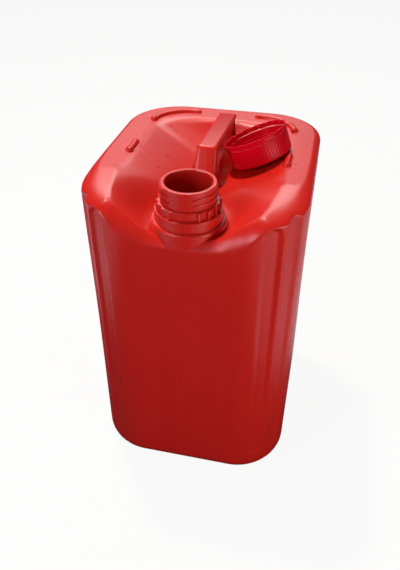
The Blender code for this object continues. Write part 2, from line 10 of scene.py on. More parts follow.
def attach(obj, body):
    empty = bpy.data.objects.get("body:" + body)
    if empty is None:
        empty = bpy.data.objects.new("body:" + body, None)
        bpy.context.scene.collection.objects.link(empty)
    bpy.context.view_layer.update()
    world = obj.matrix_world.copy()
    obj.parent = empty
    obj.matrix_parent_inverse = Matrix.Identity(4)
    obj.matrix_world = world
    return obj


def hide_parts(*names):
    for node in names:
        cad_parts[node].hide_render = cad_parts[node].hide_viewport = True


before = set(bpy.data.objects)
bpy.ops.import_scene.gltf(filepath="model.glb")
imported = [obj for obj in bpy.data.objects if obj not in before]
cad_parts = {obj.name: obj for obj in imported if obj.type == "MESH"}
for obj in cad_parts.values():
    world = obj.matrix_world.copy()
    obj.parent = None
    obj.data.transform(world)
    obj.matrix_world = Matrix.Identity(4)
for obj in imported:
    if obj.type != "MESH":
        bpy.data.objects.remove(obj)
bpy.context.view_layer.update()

# Can shell: one blow-moulded skin of red polyethylene. The walls are nearly flat, the four corners carry
# two flutes each, and the top is sunk between the rims round a bowl for the neck and a finger recess.
half_width = 0.123
half_depth = 0.1417
rim_z = 0.392
can_wall = 0.0024
top_wall = 0.0032
front_corner = 0.065
rear_corner = 0.068
base_z = 0.004
base_fillet = 0.020
foot_ring = 0.024
wall_hollow = 0.001
neck_y = -0.101
pedestal_radius = 0.0405


def smooth_step(value, low, high):
    share = np.clip((value - low) / (high - low), 0, 1)
    return share * share * (3 - 2 * share)


def lower(a, b, blend):
    """The lower of two heights, with the edge between them rounded off."""
    return np.minimum(a, b) - np.maximum(blend - abs(a - b), 0) ** 2 / (4 * blend)


def higher(a, b, blend):
    return -lower(-a, -b, blend)


def plan_outline(corner_steps, shares):
    """Points, outward normals, corner angles and corner radii round the can, from the front left.

    The shares place the points along each straight run between two corners.
    """
    off_corner = 500.0
    arcs = []
    for side_x, side_y, radius in ((1, -1, front_corner), (1, 1, rear_corner), (-1, 1, rear_corner),
                                   (-1, -1, front_corner)):
        centre = np.array((side_x * (half_width - radius), side_y * (half_depth - radius)))
        turn = np.linspace(0, 90, corner_steps + 1)
        if side_x * side_y > 0:
            turn = turn[::-1]
        normal = np.stack((side_x * np.sin(np.radians(turn)), side_y * np.cos(np.radians(turn))), 1)
        arcs.append((centre + radius * normal, normal, turn, np.full(len(turn), radius)))
    pieces = []
    for before, arc in zip(arcs[-1:] + arcs[:-1], arcs):
        share = np.array(shares)[:, None]
        run = before[0][-1] * (1 - share) + arc[0][0] * share
        level = np.repeat(arc[1][:1], len(share), 0)
        pieces.append((run, level, np.full(len(share), off_corner), np.full(len(share), front_corner)))
        pieces.append(arc)
    return [np.concatenate(part) for part in zip(*pieces)]


# Each flute has its angle round the corner and how far below the rim it starts.
flutes = ((33.0, 0.012), (57.0, 0.0065))
flute_foot = 0.032
flute_half = 0.0118
flute_depth = 0.0018
flute_deepens = 0.0027
flute_floor, flute_lip = 0.52, 1.02


def flute(turn, radius, z):
    """Depth of the corner flutes, deepest near the rim and run out in rounded ends."""
    depth = np.zeros(np.broadcast(turn, z).shape)
    for angle, drop in flutes:
        across = radius * np.radians(turn - angle)
        above = np.maximum(z - (rim_z - drop - flute_half), 0)
        below = np.maximum(flute_foot + flute_half - z, 0)
        reach = np.hypot(across, above + below) / flute_half
        rise = (z - flute_foot) / (rim_z - flute_foot)
        depth += (flute_depth + flute_deepens * rise) * (1 - smooth_step(reach, flute_floor, flute_lip))
    return depth


# The rounded outer edge by the angle round the neck from the front: angle, how far in it runs, how far
# down, and how full its section is.
outer_edge = np.array((
    (0, 0.0120, 0.0120, 1.5),
    (31, 0.0118, 0.0105, 1.5),
    (48, 0.0095, 0.0100, 1.5),
    (51, 0.0095, 0.0110, 1.4),
    (57, 0.0140, 0.0140, 1.2),
    (61, 0.0200, 0.0140, 1.1),
    (64, 0.0240, 0.0095, 1.0),
    (67, 0.0260, 0.0085, 1.0),
    (78, 0.0280, 0.0080, 1.0),
    (90, 0.0270, 0.0080, 1.0),
    (100, 0.0225, 0.0080, 1.0),
    (107, 0.0160, 0.0080, 1.0),
    (114, 0.0105, 0.0080, 1.0),
    (122, 0.0080, 0.0080, 1.0),
))
evening_passes = 6


def rounded_edge(at):
    """Reach, drop and fullness of the outer edge at the points of the outline, evened out along it."""
    angle = np.degrees(np.arctan2(abs(at[:, 0]), neck_y - at[:, 1]))
    sizes = [np.interp(angle, outer_edge[:, 0], column) for column in outer_edge.T[1:]]
    for _ in range(evening_passes):
        sizes = [(np.roll(size, 1) + 2 * size + np.roll(size, -1)) / 4 for size in sizes]
    return sizes


crease_y = -0.0655
crease_middle_x = 0.101
crease_half_width = 0.024
crease_arch = 0.006
crease_round = 0.006
shoulder_slope = 0.045
shoulder_slope_ahead = 0.050
shoulder_fall = 0.0275
fall_inner, fall_outer = 0.028, 0.100
fall_lean = 0.8
fall_curve = 0.8
fall_start = 0.02


def shoulder_height(x, y, inset):
    """The flat rim, and ahead of an arched crease the shoulder that winds down to the front middle."""
    arch = np.sqrt(np.clip(1 - ((abs(x) - crease_middle_x) / crease_half_width) ** 2, 0, 1))
    ahead = np.maximum(crease_arch * arch + crease_y - y, 0)
    plateau = shoulder_slope * ahead + shoulder_slope_ahead * ahead * ahead / (ahead + crease_round)
    beside = smooth_step(abs(x) + fall_lean * (y + half_depth), fall_inner, fall_outer)
    ramp = shoulder_fall * (1 - beside) ** fall_curve
    return rim_z - inset - plateau - ramp * smooth_step(ahead, 0, fall_start)


panel_slope = 0.45
panel_top_x = 0.088
panel_valley = 0.008
panel_flare = 0.004
flare_start, flare_end = 0.020, 0.080
back_slope = 1.05
back_top_y = 0.100
bowl_radius = 0.050
bowl_depth = 0.031
bowl_slope = 0.72
bowl_bend = 0.28
bowl_round = 0.004
recess_half = Vector((0.026, 0.071))
recess_y = 0.023
recess_depth = 0.028
recess_deepens = 0.026
recess_shallow_y, recess_deep_y = -0.027, 0.013
panel_fold, bowl_fold, recess_fold = 0.040, 0.012, 0.007


def dish_height(x, y):
    """Two sloping panels, a back wall, the bowl round the neck and the finger recess."""
    flare = panel_flare * smooth_step(-y, flare_start, flare_end)
    panel = rim_z - panel_slope * (panel_top_x + flare - np.hypot(x, panel_valley))
    back = rim_z - back_slope * (back_top_y - y)
    beyond = np.hypot(x, y - neck_y) - bowl_radius
    bowl = rim_z - bowl_depth + bowl_slope * beyond + bowl_bend * np.hypot(beyond, bowl_round)
    dish = lower(higher(panel, back, panel_fold), bowl, bowl_fold)
    spread = (x / recess_half.x) ** 2 + ((y - recess_y) / recess_half.y) ** 4
    depth = recess_depth + recess_deepens * smooth_step(y, recess_shallow_y, recess_deep_y)
    recess = rim_z - depth * np.sqrt(np.maximum(1 - spread, 0))
    return np.where(spread < 1, lower(dish, recess, recess_fold), dish)


crest = 0.0034
crest_less_in_front = 0.0021
crest_more_behind = 0.0020


def top_height(x, y, inset=0.0, fillet_drop=0.0):
    """The skin of the top: the rims and the shoulder, rolled over a crest into the dish."""
    dish = dish_height(x, y)
    if inset:
        slope_x = (dish_height(x + inset, y) - dish_height(x - inset, y)) / (2 * inset)
        slope_y = (dish_height(x, y + inset) - dish_height(x, y - inset)) / (2 * inset)
        dish = dish - top_wall * np.sqrt(1 + slope_x**2 + slope_y**2)
    roll = (crest - crest_less_in_front * smooth_step(-0.055 - y, 0, 0.012)
            + crest_more_behind * smooth_step(y, 0.070, 0.095))
    return lower(shoulder_height(x, y, inset) - fillet_drop, dish, roll)


def only(item):
    """Leaves one object selected and active."""
    bpy.ops.object.select_all(action="DESELECT")
    item.select_set(True)
    bpy.context.view_layer.objects.active = item


def bent_grid(name, points):
    """Adds a grid, bends it to rows of points, and closes its seam and its ends where they meet."""
    rows, columns = points.shape[:2]
    bpy.ops.object.select_all(action="DESELECT")
    bpy.ops.mesh.primitive_grid_add(x_subdivisions=columns - 1, y_subdivisions=rows - 1)
    item = bpy.context.object
    item.name = name
    item.data.name = name
    item.data.vertices.foreach_set("co", np.ascontiguousarray(points, np.float32).ravel())
    bpy.ops.object.mode_set(mode="EDIT")
    bpy.ops.mesh.select_all(action="SELECT")
    bpy.ops.mesh.remove_doubles(threshold=1e-6)
    bpy.ops.mesh.dissolve_degenerate(threshold=1e-7)
    bpy.ops.mesh.normals_make_consistent(inside=False)
    bpy.ops.object.mode_set(mode="OBJECT")
    return item


def combine(target, tool, operation):
    """Welds one solid to another, or cuts it out."""
    only(target)
    step = target.modifiers.new(operation.title(), "BOOLEAN")
    step.object = tool
    step.operation = operation
    step.solver = "MANIFOLD"
    bpy.ops.object.modifier_apply(modifier=step.name)
    bpy.data.objects.remove(tool)
    return target


def shell_points(inset, corner_steps, runs, walls, dish, recess):
    """Rows of points from the middle of the base, up the walls and in to the floor of the recess."""
    at, normal, turn, radius = plan_outline(corner_steps, runs)

    def ring(depth, z):
        shift = (depth + flute(turn, radius, z))[:, None]
        return np.column_stack((at - normal * shift, z))

    level = np.ones(len(at))
    floor = base_z + inset
    rows = [np.column_stack((at * 0, level * floor)), ring(base_fillet + foot_ring, level * floor)]
    for angle in np.radians(np.linspace(0, 90, 9)):
        foot = base_fillet - inset
        rows.append(ring(base_fillet - foot * math.sin(angle),
                         level * (base_fillet - foot * math.cos(angle))))
    reach, edge, fullness = rounded_edge(at)
    reach, edge = reach - inset, edge - inset
    for share in walls:
        inner = at - normal * inset
        top = shoulder_height(inner[:, 0], inner[:, 1], inset) - edge
        hollow = wall_hollow * math.sin(math.pi * share) ** 2
        rows.append(ring(inset + hollow, base_fillet + (top - base_fillet) * share))
    for angle in np.radians(np.linspace(0, 90, 13)[1:]):
        depth = inset + reach * (1 - max(math.cos(angle), 0) ** fullness)
        inner = at - normal * depth[:, None]
        fall = edge * (1 - math.sin(angle) ** fullness)
        rows.append(ring(depth, top_height(inner[:, 0], inner[:, 1], inset, fall)))
    start = at - normal * (inset + reach)[:, None]
    bearing = np.arctan2(at[:, 1] / half_depth, at[:, 0] / half_width)
    lengthways = np.sign(np.sin(bearing)) * np.sqrt(abs(np.sin(bearing)))
    end = np.stack((recess_half.x * np.cos(bearing), recess_y + recess_half.y * lengthways), 1)
    middle = np.array((0.0, recess_y))
    for first, last, shares in ((start, end, dish), (end, middle, recess)):
        for share in shares:
            plan = first * (1 - share) + last * share
            rows.append(np.column_stack((plan, top_height(plan[:, 0], plan[:, 1], inset))))
    rows = np.array(rows)
    return np.concatenate((rows, rows[:, :1]), 1)


# Rows and columns of the skin lie closest together beside the corners and under the rim.
run_shares = np.concatenate((np.linspace(0.012, 0.14, 11), np.linspace(0.2, 0.8, 9),
                             np.linspace(0.86, 0.988, 11)))
wall_shares = np.concatenate((np.linspace(0.01, 0.08, 7), np.linspace(0.12, 0.86, 12),
                              np.linspace(0.88, 1, 24)))
dish_shares = np.linspace(0, 1, 101)[1:]
recess_shares = np.append(np.linspace(0, 1, 26)[1:-1] ** 1.3, 1)
body = bent_grid("can_shell", shell_points(0.0, 52, run_shares, wall_shares, dish_shares, recess_shares))

# Handle: a hollow moulded bar, joined to the can at the back and by one raked leg at the front. It is
# blown with the shell, and the mould seam runs down the middle of its leg.
handle_front = Vector((-0.015, rim_z + 0.0135))
handle_back = Vector((0.121, rim_z + 0.0015))
bar_thickness = 0.025
leg_thickness = 0.024
leg_slope = 0.42
leg_foot_depth = 0.050
handle_half_width = 0.0117
handle_edge = 0.0042
handle_draft = 0.05
brow_radius = 0.006
finger_radius = 0.010


def rounded(corners, radii, steps=8):
    """A closed outline with each corner replaced by an arc of its radius."""
    points = []
    for i, radius in enumerate(radii):
        corner = Vector(corners[i])
        if not radius:
            points.append(corner)
            continue
        before = (Vector(corners[i - 1]) - corner).normalized()
        after = (Vector(corners[(i + 1) % len(corners)]) - corner).normalized()
        half = before.angle(after) / 2
        centre = corner + (before + after).normalized() * radius / math.sin(half)
        start = corner + before * radius / math.tan(half) - centre
        end = corner + after * radius / math.tan(half) - centre
        first = math.atan2(start.y, start.x)
        sweep = (math.atan2(end.y, end.x) - first + math.pi) % (2 * math.pi) - math.pi
        for angle in np.linspace(first, first + sweep, steps + 1):
            points.append(centre + radius * Vector((math.cos(angle), math.sin(angle))))
    return points


def handle_corners(inset):
    """Side view of the bar and its leg as (y, z), set in by a distance."""
    bar = (handle_back - handle_front).normalized()
    leg = Vector((-leg_slope, -1.0)).normalized()
    below = Vector((bar.y, -bar.x))
    behind = Vector((-leg.y, leg.x))

    def crossing(point, direction, other, other_direction):
        across = direction.x * other_direction.y - direction.y * other_direction.x
        apart = other - point
        return point + direction * (apart.x * other_direction.y - apart.y * other_direction.x) / across

    top = handle_front + below * inset
    under = handle_front + below * (bar_thickness - inset)
    front = handle_front + behind * inset
    rear = handle_front + behind * (leg_thickness - inset)
    end = Vector((handle_back.x - inset, rim_z))
    foot = Vector((0.0, rim_z - leg_foot_depth - inset))
    upright, level = Vector((0, 1)), Vector((1, 0))
    return [
        crossing(end, upright, top, bar),
        crossing(top, bar, front, leg),
        crossing(front, leg, foot, level),
        crossing(rear, leg, foot, level),
        crossing(under, bar, rear, leg),
        crossing(end, upright, under, bar),
    ]


def handle_solid(name, inset, edge_segments):
    """The bar and its leg as one solid with rounded edges, a little wider at the foot than on top."""
    half = handle_half_width - inset
    edge = handle_edge - inset
    outline = rounded(handle_corners(inset), (edge, brow_radius - inset, 0, 0, finger_radius + inset, 0))
    bpy.ops.object.select_all(action="DESELECT")
    bpy.ops.mesh.primitive_circle_add(vertices=len(outline), fill_type="NGON")
    item = bpy.context.object
    item.name = name
    for vertex, point in zip(item.data.vertices, outline):
        vertex.co = (-half, point.x, point.y)
    bpy.ops.object.mode_set(mode="EDIT")
    bpy.ops.mesh.select_all(action="SELECT")
    bpy.ops.mesh.extrude_region_move(TRANSFORM_OT_translate={"value": (2 * half, 0, 0)})
    bpy.ops.mesh.select_all(action="SELECT")
    bpy.ops.mesh.normals_make_consistent(inside=False)
    bpy.ops.object.mode_set(mode="OBJECT")
    bevel = item.modifiers.new("Bevel", "BEVEL")
    bevel.width = edge
    bevel.segments = edge_segments
    bevel.limit_method = "ANGLE"
    bevel.angle_limit = math.radians(75)
    bpy.ops.object.modifier_apply(modifier=bevel.name)
    for vertex in item.data.vertices:
        vertex.co.x *= 1 + handle_draft * (handle_front.y - vertex.co.z) / handle_half_width
    return item


body = combine(body, handle_solid("handle", 0.0, 8), "UNION")

# Stacking beads: short ones on the side rims and long curved ones on the rear corners, each with a
# dimpled knob at its front end, blown with the skin, so that the foot of the next can doesn't slide off.
bead_radius = 0.0042
bead_z = rim_z + 0.0036 - bead_radius
side_bead_x = 0.0915
side_bead_front, side_bead_back = -0.0155, 0.0090
corner_bead_x, corner_bead_y = 0.045, 0.0725
corner_bead_radius = 0.046
knob_radius = 0.0050
dimple_radius = 0.0022
dimple_rise = 0.0066


def bead(name, path):
    """A round bar with ball ends along a level path."""
    along = np.gradient(path, axis=0)
    along /= np.linalg.norm(along, axis=1)[:, None]
    side = np.stack((-along[:, 1], along[:, 0], along[:, 2]), 1)
    rounds = np.radians(np.linspace(90, 0, 9))
    stations = [(path[0] - along[0] * bead_radius * math.sin(a), side[0], math.cos(a)) for a in rounds]
    stations += [(point, across, 1.0) for point, across in zip(path[1:-1], side[1:-1])]
    stations += [(path[-1] + along[-1] * bead_radius * math.sin(a), side[-1], math.cos(a))
                 for a in rounds[::-1]]
    turns = np.radians(np.linspace(0, 360, 33))[:, None]
    rows = [at + bead_radius * share * (across * np.cos(turns) + np.array((0, 0, 1)) * np.sin(turns))
            for at, across, share in stations]
    return bent_grid(name, np.array(rows))


def ball(name, place, radius):
    bpy.ops.object.select_all(action="DESELECT")
    bpy.ops.mesh.primitive_uv_sphere_add(segments=32, ring_count=16, radius=radius)
    item = bpy.context.object
    item.name = name
    item.data.transform(Matrix.Translation(place))
    return item


for sign in (1, -1):
    along = np.linspace(side_bead_front, side_bead_back, 12)
    straight = np.stack((np.full(12, sign * side_bead_x), along, np.full(12, bead_z)), 1)
    angle = np.radians(np.linspace(12, 97, 40))
    curved = np.stack((sign * (corner_bead_x + corner_bead_radius * np.cos(angle)),
                       corner_bead_y + corner_bead_radius * np.sin(angle), np.full(40, bead_z)), 1)
    for name, path in (("side_bead", straight), ("corner_bead", curved)):
        body = combine(body, bead(name, path), "UNION")
        knob = ball("knob", path[0], knob_radius)
        knob = combine(knob, ball("dimple", path[0] + (0, 0, dimple_rise), dimple_radius), "DIFFERENCE")
        body = combine(body, knob, "UNION")

# Neck finish: a 61 mm screw neck on a domed pedestal, with a flange, a ring of ratchet teeth for the
# cap's tamper band and a screw thread that is interrupted at the mould seam.
lip_z = 0.405
neck_radius = 0.0291
neck_root_z = 0.339
flange_radius = 0.0364
flange_top = lip_z - 0.0288
flange_bottom = flange_top - 0.0114
core_radius = 0.0125


def turned(name, profile, segments, centre_y=0.0):
    """Turns an outline of (radius, height) about an upright axis."""
    profile = np.array([tuple(point) for point in profile] + [tuple(profile[0])])
    turn = np.radians(np.linspace(0, 360, segments + 1))
    rows = np.empty((len(profile), segments + 1, 3))
    rows[:, :, 0] = profile[:, :1] * np.cos(turn)
    rows[:, :, 1] = profile[:, :1] * np.sin(turn) + centre_y
    rows[:, :, 2] = profile[:, 1:]
    return bent_grid(name, rows)


def around(radius, angle, centre_y=0.0):
    """Plan position at an angle in degrees from -Y, anticlockwise."""
    return radius * np.sin(np.radians(angle)), centre_y - radius * np.cos(np.radians(angle))


corners = ((core_radius, lip_z), (neck_radius, lip_z), (neck_radius, flange_top),
           (flange_radius, flange_top), (flange_radius, flange_bottom), (pedestal_radius, flange_bottom),
           (pedestal_radius, neck_root_z), (core_radius, neck_root_z))
neck = turned("neck", rounded(corners, (0, 0.0009, 0.0008, 0.0012, 0.0006, 0.0030, 0, 0)), 240, neck_y)
body = combine(body, neck, "UNION")

# Each tooth as (share of its pitch, share of its height): steep on one side, so that the cap turns on
# but its band catches when it is turned off.
tooth_section = ((-0.02, 0.0), (0.0, 0.9), (0.03, 1.0), (0.13, 1.0), (0.2, 0.8), (0.5, 0.30),
                 (0.86, 0.05))
tooth_count = 20
tooth_pitch = 18
first_tooth = 30
seam_gap = 22
collar_radius = 0.0318
collar_top = lip_z - 0.0197
tooth_height = 0.0027
outline = []
for tooth in range(tooth_count):
    step = first_tooth + tooth_pitch * tooth
    reach = tooth_height if abs((step + 90) % 180 - 90) > seam_gap else 0.0
    for share, height in tooth_section:
        outline.append(around(collar_radius + reach * height, step + tooth_pitch * share, neck_y))
outline = np.array(outline + outline[:1])
rows = []
centre = np.array((0.0, neck_y))
for z, share in ((flange_top - 0.001, 0.0), (flange_top - 0.001, 1.0), (collar_top - 0.0009, 1.0),
                 (collar_top - 0.0003, 0.99), (collar_top, 0.973), (collar_top, 0.0)):
    rows.append(np.column_stack((centre + (outline - centre) * share, np.full(len(outline), z))))
body = combine(body, bent_grid("ratchet", np.array(rows)), "UNION")

# The ridge's section as (share of its height, share of its width).
ridge_section = np.array(((-0.7, -0.5), (0.35, -0.42), (0.9, -0.24), (1.0, -0.08), (1.0, 0.08),
                          (0.9, 0.24), (0.35, 0.42), (-0.7, 0.5), (-0.7, -0.5)))
ridge_width = 0.0030
ridge_height = 0.0014
thread_pitch = 0.0063
thread_z = lip_z - 0.0140
thread_rise = 0.0119
thread_start = 19
thread_run = 142


def thread_ridge(name, start, end, z_at_zero, root, height, centre_y=0.0):
    """A stretch of screw ridge, run out at both ends. A negative height points inward."""
    angles = np.linspace(start, end, max(int((end - start) / 3), 8))
    raised = ridge_section[:, 0]
    rows = []
    for angle in angles:
        fade = float(smooth_step(min(angle - start, end - angle), -1, 9))
        out = root + height * np.where(raised > 0, raised * fade, raised)
        x, y = around(out, angle, centre_y)
        z = z_at_zero + thread_pitch * angle / 360 + ridge_width * ridge_section[:, 1]
        rows.append(np.column_stack((x, y, z)))
    rows.insert(0, np.repeat(rows[0].mean(0)[None], len(raised), 0))
    rows.append(np.repeat(rows[-1].mean(0)[None], len(raised), 0))
    return bent_grid(name, np.array(rows))


for run in range(5):
    start = thread_start + 180 * (run - 1)
    end = min(start + thread_run, 360 * thread_rise / thread_pitch)
    ridge = thread_ridge("thread", start, end, thread_z, neck_radius, ridge_height, neck_y)
    body = combine(body, ridge, "UNION")

# Inside of the can: blow moulding leaves it hollow, with a wall that follows the outer skin, a handle
# that is open to the can, and a 50 mm bore through the neck, widened under the flange.
bore_radius = 0.0250
bore_mouth_radius = 0.0262
bore_end_z = 0.335
inner_shares = ((0.04, 0.12, 0.3, 0.55, 0.8, 0.9, 0.94, 0.96, 0.97, 0.98, 0.99, 1.0),
                np.linspace(0, 1, 30)[1:], (0.08, 0.16, 0.25, 0.4, 0.65, 1))
cavity = bent_grid("cavity", shell_points(can_wall, 30, run_shares[::3], *inner_shares))
body = combine(body, cavity, "DIFFERENCE")
body = combine(body, handle_solid("handle_core", can_wall, 2), "DIFFERENCE")
wide = pedestal_radius - can_wall
ceiling = flange_bottom - can_wall
corners = ((0, lip_z + 0.002), (bore_mouth_radius, lip_z + 0.002), (bore_radius, lip_z - 0.0010),
           (bore_radius, ceiling), (wide, ceiling), (wide, bore_end_z), (0, bore_end_z))
bore = turned("bore", rounded(corners, (0, 0, 0.0008, 0.001, 0.004, 0, 0)), 240, neck_y)
body = combine(body, bore, "DIFFERENCE")

# Surface of the can: satin red polyethylene as it leaves the mould, with a fine orange peel, faint
# upright flow streaks in the walls and the mould's seam down the middle.


class Signal:
    """A shader socket in Python arithmetic: each operation on it adds a Math node."""

    def __init__(self, finish, socket):
        self.finish = finish
        self.socket = socket

    def math(self, operation, *values):
        return self.finish.node("ShaderNodeMath", {"operation": operation}, dict(enumerate(values)))

    def __add__(self, other):
        return self.math("ADD", self, other)

    def __radd__(self, other):
        return self.math("ADD", other, self)

    def __sub__(self, other):
        return self.math("SUBTRACT", self, other)

    def __rsub__(self, other):
        return self.math("SUBTRACT", other, self)

    def __mul__(self, other):
        return self.math("MULTIPLY", self, other)

    def __rmul__(self, other):
        return self.math("MULTIPLY", other, self)

    def __abs__(self):
        return self.math("ABSOLUTE", self)

    def between(self, low, high):
        """0 below low, 1 above high, and a smooth ramp from one to the other."""
        return self.finish.node("ShaderNodeMapRange", {"interpolation_type": "SMOOTHSTEP"},
                                {"Value": self, "From Min": low, "From Max": high})


class Finish:
    """A node material. Its shader's own sockets take the numbers that are the same all over."""

    def __init__(self, name, **numbers):
        self.material = bpy.data.materials.new(name)
        self.material.use_nodes = True
        self.tree = self.material.node_tree
        self.shader = self.tree.nodes["Principled BSDF"]
        for socket, number in numbers.items():
            self.shader.inputs[socket.replace("_", " ")].default_value = number
        self.place = self.node("ShaderNodeTexCoord", {}, {}, "Object")

    def node(self, kind, settings, inputs, output=0):
        """Adds a node, sets it and its sockets, and gives back one of its outputs."""
        made = self.tree.nodes.new(kind)
        for name, value in settings.items():
            setattr(made, name, value)
        for name, value in inputs.items():
            self.join(made.inputs[name], value)
        return Signal(self, made.outputs[output])

    def join(self, socket, value):
        if isinstance(value, Signal):
            self.tree.links.new(value.socket, socket)
        else:
            socket.default_value = value

    def noise(self, scale, detail=2.0, stretch=(1, 1, 1)):
        at = self.node("ShaderNodeMapping", {}, {"Vector": self.place, "Scale": stretch})
        return self.node("ShaderNodeTexNoise", {}, {"Vector": at, "Scale": scale, "Detail": detail},
                         "Fac")

    def mix(self, share, first, second):
        """Blends two colours."""
        return self.node("ShaderNodeMix", {"data_type": "RGBA"}, {0: share, 6: first, 7: second}, 2)

    def surface(self, colour, roughness, height, distance):
        bump = self.node("ShaderNodeBump", {}, {"Height": height, "Distance": distance, "Strength": 1.0},
                         "Normal")
        self.join(self.shader.inputs["Base Color"], colour)
        self.join(self.shader.inputs["Roughness"], roughness)
        self.join(self.shader.inputs["Normal"], bump)


deep_red = (0.68, 0.017, 0.010, 1)
bright_red = (0.74, 0.022, 0.013, 1)
streak_red = (0.54, 0.010, 0.010, 1)
red = Finish("satin_red_polyethylene", IOR=1.5)
x, z = (red.node("ShaderNodeSeparateXYZ", {}, {0: red.place}, axis) for axis in (0, 2))
cloud = red.noise(9.0, 3.0)
streak = red.noise(60.0, 3.0, (1, 1, 0.03))
grain = red.noise(900.0, 2.0)
peel = red.noise(260.0, 2.0)
seam = 1 - abs(x).between(0.0002, 0.0006)
on_walls = 1 - z.between(0.33, 0.36)
colour = red.mix(cloud, deep_red, bright_red)
colour = red.mix(streak * on_walls * 0.35, colour, streak_red)
rough = 0.23 + cloud * 0.06 + streak * 0.04
height = peel * 0.35 + grain * 0.45 + streak * on_walls * 0.5 + seam * 0.4
red.surface(colour, rough, height, 0.00010)


def finished(item, finish, carrier, slot, *nodes):
    """Gives a piece its material and smooth shading, and puts it in the place of CAD nodes on a body."""
    only(item)
    item.data.materials.clear()
    item.data.materials.append(finish.material)
    bpy.ops.object.shade_smooth_by_angle(angle=math.radians(32))
    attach(item, carrier)
    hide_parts(*nodes)


finished(body, red, "can", "body_plastic", "jerrycan_body")

# Screw cap: injection-moulded crimson polypropylene, with fine ribs round the skirt and a threaded
# sleeve inside it. It lies closed face down on the dish panel and the right side bead.
cap_place = Matrix(((0.913228, 0.035156, -0.405929, 0.059709),
                    (0.0, 0.996271, 0.086283, 0.02),
                    (0.407448, -0.078796, 0.909823, 0.383005),
                    (0, 0, 0, 1)))
cap_height = 0.029
cap_radius = 0.0366
base_radius = 0.0354
plate = 0.0026
skirt_end = 0.0226
skirt_wall = 0.0024
sleeve_radius = 0.0311
sleeve_wall = 0.0016
sleeve_end = 0.0165
rib_count = 60
rib_depth = 0.00018
cap_thread_z = 0.0064
cap_thread_run = 504.0
corners = ((0, 0), (base_radius, 0), (cap_radius, skirt_end), (cap_radius - skirt_wall, skirt_end),
           (base_radius - skirt_wall, plate), (sleeve_radius + sleeve_wall, plate),
           (sleeve_radius + sleeve_wall, sleeve_end), (sleeve_radius, sleeve_end), (sleeve_radius, plate),
           (0, plate))
profile = rounded(corners, (0, 0.0015, 0.0003, 0.0003, 0.0012, 0.0006, 0.0006, 0.0006, 0.0006, 0), 5)
cap = turned("cap_shell", profile, 480)
points = np.empty(len(cap.data.vertices) * 3, np.float32)
cap.data.vertices.foreach_get("co", points)
points = points.reshape(-1, 3)
ring = np.hypot(points[:, 0], points[:, 1])
taper = base_radius + (cap_radius - base_radius) * points[:, 2] / skirt_end
ribbed = (ring > taper - 0.0004) & (points[:, 2] > 0.0008) & (points[:, 2] < skirt_end - 0.0001)
wave = 0.5 - 0.5 * np.cos(rib_count * np.arctan2(points[:, 1], points[:, 0]))
points[:, :2] *= (1 - np.where(ribbed, rib_depth * wave / np.maximum(ring, 0.01), 0))[:, None]
cap.data.vertices.foreach_set("co", points.ravel())
cap_thread = thread_ridge("cap_thread", 0.0, cap_thread_run, cap_thread_z, sleeve_radius, -ridge_height)
cap = combine(cap, cap_thread, "UNION")
cap.data.transform(cap_place)

deep_crimson = (0.68, 0.001, 0.012, 1)
bright_crimson = (0.76, 0.002, 0.020, 1)
crimson = Finish("gloss_crimson_polypropylene", IOR=1.49, Specular_IOR_Level=0.15)
cloud = crimson.noise(40.0, 3.0)
peel = crimson.noise(420.0, 2.0)
colour = crimson.mix(cloud, deep_crimson, bright_crimson)
crimson.surface(colour, 0.27 + cloud * 0.10, peel * 0.5 + cloud * 0.3, 0.00005)
finished(cap, crimson, "cap", "cap_plastic", "screw_cap")

# Tamper band: the tear-off ring on the cap's open end. Eight thin bridges hold it to the skirt, and 20
# pawls inside it catch the teeth of the neck. It is moulded in one shot with the cap.
band_low = cap_height - 0.0055
band_outer = cap_radius + 0.0010
band_inner = band_outer - 0.0016
corners = ((band_inner, cap_height), (band_outer, cap_height), (band_outer, band_low + 0.001),
           (cap_radius, band_low), (band_inner, band_low))
band = turned("tamper_ring", rounded(corners, (0.0005, 0.0005, 0.0006, 0.0002, 0.0002), 4), 288)


def wedges(name, count, outline, low, high):
    """Small upright prisms repeated round the axis, from one (radius, angle) outline."""
    first = None
    for i in range(count):
        turn = 360 * i / count
        flat = np.array([around(radius, angle + turn) for radius, angle in outline + outline[:1]])
        middle = flat[:-1].mean(0)
        rows = []
        for z, share in ((low, 0), (low, 0.94), (low + 0.0001, 1),
                         (high - 0.0001, 1), (high, 0.94), (high, 0)):
            rows.append(np.column_stack((middle + (flat - middle) * share, np.full(len(flat), z))))
        piece = bent_grid(name, np.array(rows))
        if first is None:
            first = piece
            continue
        only(first)
        piece.select_set(True)
        bpy.ops.object.join()
    return first


pawl_count = 20
pawl_tip = collar_radius + tooth_height - 0.0010
root = band_inner + 0.0004
pawl = ((root, 0.0), (root, 9.0), (band_inner - 0.0002, 9.0), (pawl_tip + 0.0002, 2.2), (pawl_tip, 1.5),
        (pawl_tip, 0.4), (pawl_tip + 0.0003, 0.0))
pawls = wedges("pawls", pawl_count, pawl, band_low + 0.00125, band_low + 0.00425)
band = combine(band, pawls, "UNION")
bridge_count = 8
bridge_width = 0.0022
half = math.degrees(bridge_width / band_outer) / 2
bridge = ((root, -half), (root, half), (cap_radius - 0.0008, half), (cap_radius - 0.0008, -half))
bridges = wedges("bridges", bridge_count, bridge, skirt_end + 0.0003, band_low + 0.0004)
band = combine(band, bridges, "UNION")
band.data.transform(cap_place)
finished(band, crimson, "cap", "cap_plastic", "tamper_band")

